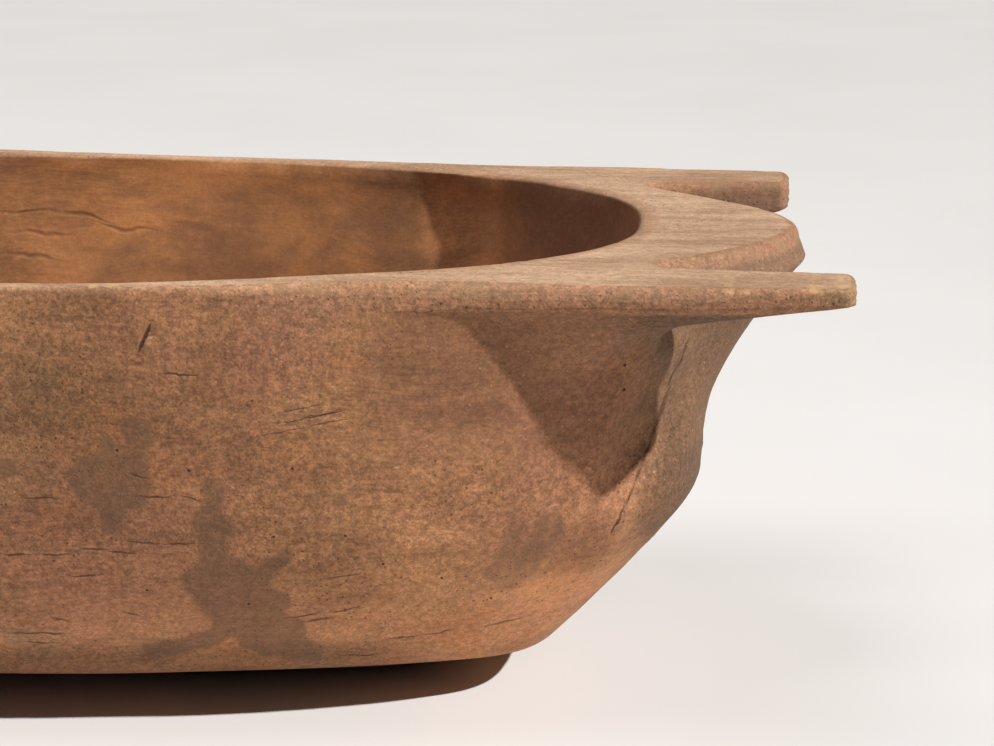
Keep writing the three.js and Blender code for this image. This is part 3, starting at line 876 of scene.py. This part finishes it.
# The wood's colours, its gloss, and the depth of its bumps in metres.
look = {
    "wallLight": colour(170, 121, 82),
    "wallDark": colour(125, 86, 58),
    "wallPink": colour(151, 102, 76),
    "wallGrey": colour(118, 95, 72),
    "wallOrange": colour(170, 113, 73),
    "band": colour(144, 103, 76),
    # painted shade for the hollow under the rim and horns
    "hollow": colour(112, 86, 62),
    "topLight": colour(171, 140, 114),
    "topDark": colour(141, 110, 85),
    "basinLight": colour(176, 119, 73),
    "basinDark": colour(134, 92, 62),
    "basinEnd": colour(134, 95, 73),
    # end grain, partly painted shade on the sunlit end walls
    "endGrainAndShade": colour(101, 75, 54),
    "tip": colour(130, 104, 74),
    # partly painted shade on the sun-facing flank of the tongue
    "noseSide": colour(122, 92, 72),
    "freshWood": colour(180, 148, 102),
    "speck": colour(78, 42, 29),
    "paleSpeck": colour(204, 168, 132),
    "crack": colour(50, 31, 20),
    "stain": colour(96, 72, 54),
    "roughness": 0.8,
    "specular": 0.3,
    "bumpDepth": 0.0008,
}

# Noise that sets off areas of the wood: shift of the noise, its scale and detail, where on it
# an area starts and is full, and how strong it gets.
areas = {
    "wallPink": (1.3, 7.0, 4.0, 0.46, 0.62, 0.6),
    "wallGrey": (2.9, 8.0, 5.0, 0.52, 0.68, 0.45),
    "wallOrange": (4.1, 10.0, 5.0, 0.52, 0.68, 0.6),
    "stringy": (5.7, 6.0, 3.0, 0.45, 0.6, 1.0),
    "speckClusters": (0.0, 9.0, 3.0, 0.46, 0.60, 1.0),
    "chippedRim": (3.3, 130.0, 3.0, 0.42, 0.52, 1.0),
    "rubbed": (7.7, 60.0, 4.0, 0.50, 0.62, 0.5),
}

# Places on the trough as products of smooth steps: an axis, where it is 0 and where 1, in metres.
zones = {
    "sunlitFoot": (("z", 0.15, 0.05),),
    # painted shade along the front's lower edge, where the wall turns under
    "lowerEdge": (("z", 0.062, 0.042), ("x", 0.42, 0.35)),
    # painted shade on the end wall's facet that turns away from the sun
    "endFacetShade": (("z", 0.172, 0.158), ("z", 0.100, 0.118), ("x", 0.512, 0.522)),
    # painted light on the basin's back wall where it turns towards the end
    "turnedWallLight": (("x", 0.345, 0.362), ("x", 0.416, 0.400), ("y", 0.05, 0.12)),
    "lowRight": (("x", 0.40, 0.47), ("z", 0.16, 0.11)),
    "lowWall": (("z", 0.13, 0.08),),
    "backSide": (("y", 0.05, 0.1),),
    "frontRim": (("y", -0.14, -0.17),),
}

# Ramps: where each starts and ends, and its values there where they aren't 0 and 1.
ramps = {
    "tone": (0.38, 0.64),
    "topTone": (0.36, 0.62),
    "basinMiddle": (0.0, 0.26, 0.72, 1.0),
    "basinEnd": (0.36, 0.46, 0.0, 0.85),
    "cloudy": (0.38, 0.62, 0.90, 1.08),
    "crumb": (0.34, 0.66, 0.74, 1.23),
    "fine": (0.34, 0.66, 0.75, 1.24),
    "fibre": (0.3, 0.7, -1.0, 1.0),
    "stain": (-1.2, 2.2, 0.0, 0.56),
    "faintStain": (-1.0, 2.0, 0.0, 0.40),
}

# The specks' dots for each metre, the dots' radius as a share of their spacing, and the share
# of them that shows.
specks = {
    "dark": {"Scale": 350.0, "Radius": 0.29, "Share": 0.42},
    "pale": {"Scale": 330.0, "Radius": 0.25, "Share": 0.12},
}

# How much lighter or darker each place is painted: painted light and shade, which on the tongue's
# flank is partly its own darker colour; how much of its place colour each has, and how much calmer
# its crumbs and fibres are.
shades = {"sunlitFoot": 0.34, "lowerEdge": -0.48, "underHornShade": -0.20, "endFacetShade": -0.25,
          "turnedWallLight": 0.45, "noseSide": -0.10}
placeColourShare = {"band": 0.75, "hollow": 0.45, "endGrainAndShade": 0.85, "noseSide": 0.75, "hornTip": 0.75}
calmness = {"inside": 0.7, "topFace": 0.45, "underHornShade": 0.35, "lowRight": 0.3, "noseSide": 0.5,
            "lowWall": 0.25}

# How far fibres and crumbs stand up and specks and cracks lie deeper, in bump depths.
bumps = {"fibre": 0.35, "crumb": 0.8, "fine": 0.3}
speckDent = -0.7
crackDent = -2.0

# Broad patches of painted light and shade on the front wall: middle (x, height) and radius in
# metres, and how much lighter it gets.
frontZones = [
    (0.215, 0.185, 0.095, -0.22), (0.400, 0.232, 0.045, -0.10), (0.410, 0.155, 0.062, 0.26),
    (0.350, 0.112, 0.055, -0.14), (0.405, 0.076, 0.045, -0.08), (0.160, 0.225, 0.055, -0.22),
    (0.310, 0.255, 0.050, -0.16), (0.540, 0.225, 0.035, 0.12),
    (0.465, 0.070, 0.062, 0.20), (0.205, 0.228, 0.052, -0.20),
]

# Marks on the walls. Each kind has a tilt in degrees, its half-length and half-width, the share
# of it that is fully dark, and the places (x, height) of its middles, in millimetres.
wallMarks = {
    "checks": {"tilt": 0, "size": (15, 0.95), "core": 0.1, "strength": 0.78, "places": [
        (162, 122), (184, 122.3), (207, 125), (222, 123.6), (237, 129.8), (257, 129.5),
        (246, 160.2), (200, 107.2), (157, 63.8), (172, 64.3), (264, 234.4), (352, 41), (166, 56.3),
        (180, 158.7)]},
    "shortChecks": {"tilt": -13, "size": (7.5, 1.0), "core": 0.2, "strength": 0.6, "places": [
        (237, 173.2), (266, 157.9), (223, 79.7), (180, 75)]},
    "risingChecks": {"tilt": 9, "size": (16, 1.0), "core": 0.1, "strength": 0.66, "places": [
        (322, 75.6), (347, 79.5), (349, 105.4), (379, 54.6), (399, 57), (438, 61), (330, 72)]},
    "scratches": {"tilt": 10, "size": (18, 0.6), "core": 0.2, "strength": 0.55, "places": [
        (340, 208.6), (331, 213.3), (345, 204), (320, 199.6), (326, 206)]},
    "scratch": {"tilt": 11, "size": (16, 0.75), "core": 0.3, "strength": 0.75, "places": [
        (342, 209)]},
    "gouge": {"tilt": 66, "size": (8.6, 1.5), "core": 0.3, "strength": 0.85, "places": [
        (243.6, 253), (245.8, 257.6)]},
    "holes": {"tilt": 0, "size": (1.1, 1.1), "core": 0.5, "strength": 0.9, "places": [
        (265.6, 176.4), (323.5, 176.6), (310.6, 133), (234, 96.6), (291.4, 85.3), (226.2, 189.1),
        (351.1, 132.8), (371.4, 112.7), (510, 230), (509.4, 214.5), (431, 82), (404, 100.6)]},
    "ridge": {"tilt": 68, "size": (10, 1.0), "core": 0.1, "strength": 0.7, "places": [
        (543, 230), (540.5, 223.5), (537.5, 218), (535.2, 213), (532.2, 201.5), (512.6, 146.5),
        (508, 137.3), (503.5, 127)]},
    "wideRidge": {"tilt": 68, "size": (12, 1.7), "core": 0.05, "strength": 0.7, "places": [
        (530.6, 196), (529.4, 190.7), (526, 181), (522, 171.4), (517.3, 158.8)]},
    "ridgeEnd": {"tilt": 62, "size": (6, 1.5), "core": 0.2, "strength": 0.85, "places": [
        (505.4, 130.5)]},
}
straightMarks = ("scratch", "gouge", "holes")
paleMarks = {
    "chips": {"tilt": 15, "size": (2.6, 1.2), "core": 0.3, "strength": 0.4, "places": [
        (469, 146), (382, 176), (247.4, 252.5), (248.8, 256)]},
    "rimChips": {"tilt": -6, "size": (6.5, 1.9), "core": 0.1, "strength": 0.7, "places": [
        (570, 284), (580, 283), (602, 282), (617, 284), (633, 284), (216, 284.6), (228, 284.6)]},
}
basinMarks = {
    "grain": {"tilt": -4, "size": (30, 2.4), "core": 0.0, "strength": 0.4, "places": [
        (62, 243.5), (102, 240), (134, 235.5), (70, 227.4), (66, 212.5)]},
    "smudges": {"tilt": -8, "size": (34, 7), "core": 0.0, "strength": 0.2, "places": [
        (140, 258), (168, 247), (186, 236), (116, 267), (276, 257)]},
}


# What the material knows about each point: its place, the wood's figure, the mesh's shares,
# the zones, and tone, the mix of streaks and mottling that walls and basin have in common.
def woodPlaces(tree, shareNames):
    position = put(tree, "ShaderNodeTexCoord").outputs["Object"]
    axes = put(tree, "ShaderNodeSeparateXYZ", {"Vector": position}).outputs
    at = {"position": position, "x": axes[0], "y": axes[1], "z": axes[2]}
    figure = put(tree, "ShaderNodeGroup", {"Position": position}, node_tree=figureGroup())
    for name in figureLayers:
        at[name] = figure.outputs[name]
    for name in shareNames:
        at[name] = put(tree, "ShaderNodeAttribute", attribute_name=name).outputs["Fac"]
    for name, steps in zones.items():
        at[name] = times(tree, *(fade(tree, at[axis], low, high) for axis, low, high in steps))
    tone = scaled(tree, at["streak"], 0.3, times(tree, at["mottle"], 0.7))
    at["tone"] = fade(tree, tone, *ramps["tone"])
    return at


# Mask of one of the noise areas.
def area(tree, at, name):
    shift, scale, detail, low, high, strength = areas[name]
    moved = vecCalc(tree, "ADD", at["position"], (shift, shift * 0.7, -shift))
    return fade(tree, noise(tree, moved, scale, detail, 0.6), low, high, 0.0, strength)


# The shade so far times 1 + change where the mask is 1.
def shaded(tree, shade, mask, change):
    return times(tree, shade, scaled(tree, mask, change, 1.0))


# The base so far with some of a place's colour; for the hollow that colour is painted shade, for
# the end walls and the tongue's flank partly so.
def coloured(tree, at, base, name, colourName=None):
    return mixColor(tree, times(tree, at[name], placeColourShare[name]), base, look[colourName or name])


# Outer walls: mottled brown with pinkish, grey and orange areas and painted shade in the hollow,
# under the horns and on the end facet; the front alone gets painted light low down, painted
# shade along its lower edge and patches of painted light and shade.
def wallColour(tree, at):
    wall = mixColor(tree, at["tone"], look["wallDark"], look["wallLight"])
    for name in ("wallPink", "wallGrey", "wallOrange"):
        wall = mixColor(tree, area(tree, at, name), wall, look[name])
    for name in ("band", "hollow", "endGrainAndShade"):
        wall = coloured(tree, at, wall, name)
    shade = scaled(tree, at["sunlitFoot"], shades["sunlitFoot"], 1.0)
    shade = shaded(tree, shade, at["lowerEdge"], shades["lowerEdge"])
    flat = vecCalc(tree, "MULTIPLY", at["position"], (1.0, 0.0, 1.0))
    for x, z, radius, change in frontZones:
        distance = vecCalc(tree, "DISTANCE", flat, (x, 0.0, z), "Value")
        shade = shaded(tree, shade, fade(tree, distance, radius, 0.25 * radius), change)
    shade = scaled(tree, calc(tree, "SUBTRACT", shade, 1.0), at["front"], 1.0)
    for name in ("underHornShade", "endFacetShade"):
        shade = shaded(tree, shade, at[name], shades[name])
    return tint(tree, wall, shade)


# Basin: orange-brown, cloudy, darker at mid-length and greyer towards its ends, with
# painted light on the turned part of the back wall.
def basinColour(tree, at):
    basin = mixColor(tree, at["tone"], look["basinDark"], look["basinLight"])
    away = calc(tree, "ABSOLUTE", at["x"])
    basin = mixColor(tree, fade(tree, away, *ramps["basinEnd"]), basin, look["basinEnd"])
    shade = times(tree, fade(tree, away, *ramps["basinMiddle"]),
                  fade(tree, at["mottle"], *ramps["cloudy"]))
    return tint(tree, basin, shaded(tree, shade, at["turnedWallLight"], shades["turnedWallLight"]))


# Top faces pale worn tan; walls, top faces and basin put together, with the tongue's flank
# darkened, partly its own colour and partly painted shade, and the horns' ends in a colour of their
# own.
def plainColour(tree, at):
    calm = scaled(tree, at["streak"], 0.6, times(tree, at["mottle"], 0.4))
    top = mixColor(tree, fade(tree, calm, *ramps["topTone"]), look["topDark"], look["topLight"])
    base = mixColor(tree, at["topFace"], wallColour(tree, at), top)
    base = mixColor(tree, at["inside"], base, basinColour(tree, at))
    base = tint(tree, base, scaled(tree, at["noseSide"], shades["noseSide"], 1.0))
    base = coloured(tree, at, base, "noseSide")
    return coloured(tree, at, base, "hornTip", "tip")


# Crumbs and fibres as a shade around 1; uneven says how much of the crumbs shows.
def textureShade(tree, at, uneven):
    crumb, fine, fibre = (fade(tree, at[name], *ramps[name]) for name in ("crumb", "fine", "fibre"))
    rough = calc(tree, "SUBTRACT", times(tree, crumb, fine), 1.0)
    stringy = scaled(tree, area(tree, at, "stringy"), 0.10, 0.04)
    return times(tree, scaled(tree, rough, uneven, 1.0), scaled(tree, fibre, stringy, 1.0))


# Masks of the dark specks, in clusters and along the band, and of the scattered pale ones.
def speckMasks(tree, at):
    outside = calc(tree, "SUBTRACT", 1.0, at["inside"])
    clusters = calc(tree, "MAXIMUM", area(tree, at, "speckClusters"), times(tree, at["band"], 0.8))
    dark = put(tree, "ShaderNodeGroup", {"Position": at["position"], **specks["dark"]},
               node_tree=speckGroup())
    moved = vecCalc(tree, "ADD", at["position"], (0.31, 0.7, 0.2))
    pale = put(tree, "ShaderNodeGroup", {"Position": moved, **specks["pale"]},
               node_tree=dark.node_tree)
    dark = times(tree, dark.outputs["Mask"], clusters, outside)
    return shaded(tree, dark, at["underHornShade"], -0.6), times(tree, pale.outputs["Mask"], outside)


# Mask of the stains: their depth plus noise, cut off sharply, so that the edge is crisp and
# ragged.
def stainMask(tree, at):
    ragged = scaled(tree, noise(tree, at["position"], 60.0, 5.0, 0.6), 18.0, -9.0)
    stain, faint = (fade(tree, calc(tree, "ADD", at[name], ragged), *ramps[name])
                    for name in ("stain", "faintStain"))
    return times(tree, calc(tree, "MAXIMUM", stain, faint), at["front"])


# Mask of the cracks, tool marks and worm holes: the strongest of all kinds at each point.
def crackMask(tree, at, unsteady):
    cracks = 0.0
    for name, kind in wallMarks.items():
        course = at["position"] if name in straightMarks else unsteady
        cracks = calc(tree, "MAXIMUM", cracks, markField(tree, course, kind))
    cracks = times(tree, cracks, at["front"])
    slow = scaled(tree, noise(tree, at["position"], 22.0, 2.0), 0.02, -0.01)
    slow = put(tree, "ShaderNodeCombineXYZ", {"Z": slow}).outputs[0]
    wavy = vecCalc(tree, "ADD", at["position"], slow)
    back = times(tree, at["backSide"], at["inside"])
    for kind in basinMarks.values():
        cracks = calc(tree, "MAXIMUM", cracks, times(tree, markField(tree, wavy, kind), back))
    return cracks


# Old worn wood: the plain colours with their painted light and shade, times the texture's shade,
# then specks, stains, chips, cracks and rubbed edges, each mixed over the one before; the same
# masks raise and dent the surface.
def woodMaterial(shareNames):
    material = bpy.data.materials.new("wornWood")
    material.use_nodes = True
    tree = material.node_tree
    tree.nodes.clear()
    out = put(tree, "ShaderNodeOutputMaterial")
    shader = put(tree, "ShaderNodeBsdfPrincipled")
    tree.links.new(shader.outputs[0], out.inputs["Surface"])
    at = woodPlaces(tree, shareNames)

    calm = 0.0
    for name, strength in calmness.items():
        calm = scaled(tree, at[name], strength, calm)
    uneven = calc(tree, "SUBTRACT", 1.0, calm, clamp=True)
    base = tint(tree, plainColour(tree, at), textureShade(tree, at, uneven))
    dark, pale = speckMasks(tree, at)
    base = mixColor(tree, times(tree, dark, 0.7), base, look["speck"])
    base = mixColor(tree, times(tree, pale, 0.3), base, look["paleSpeck"])
    base = mixColor(tree, stainMask(tree, at), base, look["stain"])

    unsteady = swayed(tree, at["position"], 90.0, (0.0, 0.0, 0.006))
    cracks = crackMask(tree, at, unsteady)
    chips = times(tree, markField(tree, at["position"], paleMarks["chips"]), at["front"])
    base = mixColor(tree, chips, base, look["paleSpeck"])
    rimChips = times(tree, markField(tree, unsteady, paleMarks["rimChips"]), at["frontRim"],
                     area(tree, at, "chippedRim"))
    base = mixColor(tree, rimChips, base, look["freshWood"])
    base = mixColor(tree, cracks, base, look["crack"])
    rubbed = times(tree, at["rimEdge"], area(tree, at, "rubbed"))
    base = mixColor(tree, rubbed, base, look["tip"])

    height = 0.0
    for name, weight in bumps.items():
        height = scaled(tree, at[name], weight, height)
    height = scaled(tree, dark, speckDent, times(tree, height, uneven))
    height = scaled(tree, cracks, crackDent, height)
    bump = put(tree, "ShaderNodeBump",
               {"Height": height, "Strength": 0.6, "Distance": look["bumpDepth"]})
    tree.links.new(base, shader.inputs["Base Color"])
    tree.links.new(bump.outputs[0], shader.inputs["Normal"])
    shader.inputs["Roughness"].default_value = look["roughness"]
    shader.inputs["Specular IOR Level"].default_value = look["specular"]
    return material


piece, shareNames = buildTrough()
piece.data.materials.append(woodMaterial(shareNames))
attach(piece, "root")
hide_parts("trough_body")
print("wood finished")

studio = {
    "floorColour": colour(206, 204, 203),
    "floorHalfSize": 8.0,
    "worldColour": colour(244, 244, 250),
    "worldStrength": 0.06,
    "keyColour": (1.0, 0.98, 0.95),
    "keyStrength": 6.0,
    "keyAngle": 1.4,
    "keyDirection": (1.1, -0.37, 1.0),
    "topStrength": 24.0,
    "topPlace": (-0.3, -0.35, 2.4),
    "topAim": (0.1, 0.0, 0.2),
    "topSize": 1.4,
}


# A light at a place, turned so that it shines against the given direction.
def placeLight(light, place, direction):
    lamp = bpy.data.objects.new(light.name, light)
    bpy.context.scene.collection.objects.link(lamp)
    toward = np.array(direction) / np.linalg.norm(direction)
    lamp.location = place
    lamp.rotation_euler = (math.acos(toward[2]), 0, math.atan2(toward[1], toward[0]) + math.pi / 2)


# Plain pale floor, a sun from the right and the front, a soft light high over the front, and
# a faint even light from all sides.
def buildStudio():
    half = studio["floorHalfSize"]
    mesh = bpy.data.meshes.new("studioFloor")
    mesh.from_pydata([(-half, -half, 0), (half, -half, 0), (half, half, 0), (-half, half, 0)], [],
                     [(0, 1, 2, 3)])
    floor = bpy.data.objects.new("studioFloor", mesh)
    bpy.context.scene.collection.objects.link(floor)
    material = bpy.data.materials.new("paleFloor")
    material.use_nodes = True
    tree = material.node_tree
    shader = tree.nodes["Principled BSDF"]
    position = put(tree, "ShaderNodeTexCoord").outputs["Object"]
    cloud = fade(tree, noise(tree, position, 2.5, 4.0), 0.3, 0.7, 0.97, 1.0)
    tree.links.new(tint(tree, studio["floorColour"], cloud), shader.inputs["Base Color"])
    shader.inputs["Roughness"].default_value = 0.7
    mesh.materials.append(material)

    world = bpy.data.worlds.new("softRoom")
    bpy.context.scene.world = world
    world.use_nodes = True
    background = world.node_tree.nodes["Background"]
    background.inputs["Color"].default_value = studio["worldColour"]
    background.inputs["Strength"].default_value = studio["worldStrength"]

    key = bpy.data.lights.new("keySun", "SUN")
    key.energy = studio["keyStrength"]
    key.angle = math.radians(studio["keyAngle"])
    key.color = studio["keyColour"]
    placeLight(key, studio["keyDirection"], studio["keyDirection"])

    soft = bpy.data.lights.new("topSoft", "AREA")
    soft.energy = studio["topStrength"]
    soft.shape = "DISK"
    soft.size = studio["topSize"]
    placeLight(soft, studio["topPlace"], np.array(studio["topPlace"]) - np.array(studio["topAim"]))


# The camera's place in metres, its angles in degrees, and its lens in millimetres, worked out
# from the level rim and its perspective.
photoView = {
    "place": (0.58376, -1.72393, 0.60156),
    "pitch": 13.515,
    "turn": 5.388,
    "lens": 101.4,
    "sensor": 36,
}


# A camera at the place, looking along Y, turned by turn and tipped down by pitch.
def buildCamera():
    lens = bpy.data.cameras.new("photoView")
    lens.sensor_width = photoView["sensor"]
    lens.lens = photoView["lens"]
    lens.clip_start = 0.05
    camera = bpy.data.objects.new("photoView", lens)
    camera.location = photoView["place"]
    camera.rotation_euler = (math.radians(90 - photoView["pitch"]), 0,
                             math.radians(photoView["turn"]))
    bpy.context.scene.collection.objects.link(camera)
    bpy.context.scene.camera = camera


buildStudio()
buildCamera()
bpy.context.scene.view_settings.view_transform = "Standard"
print("studio and camera set")
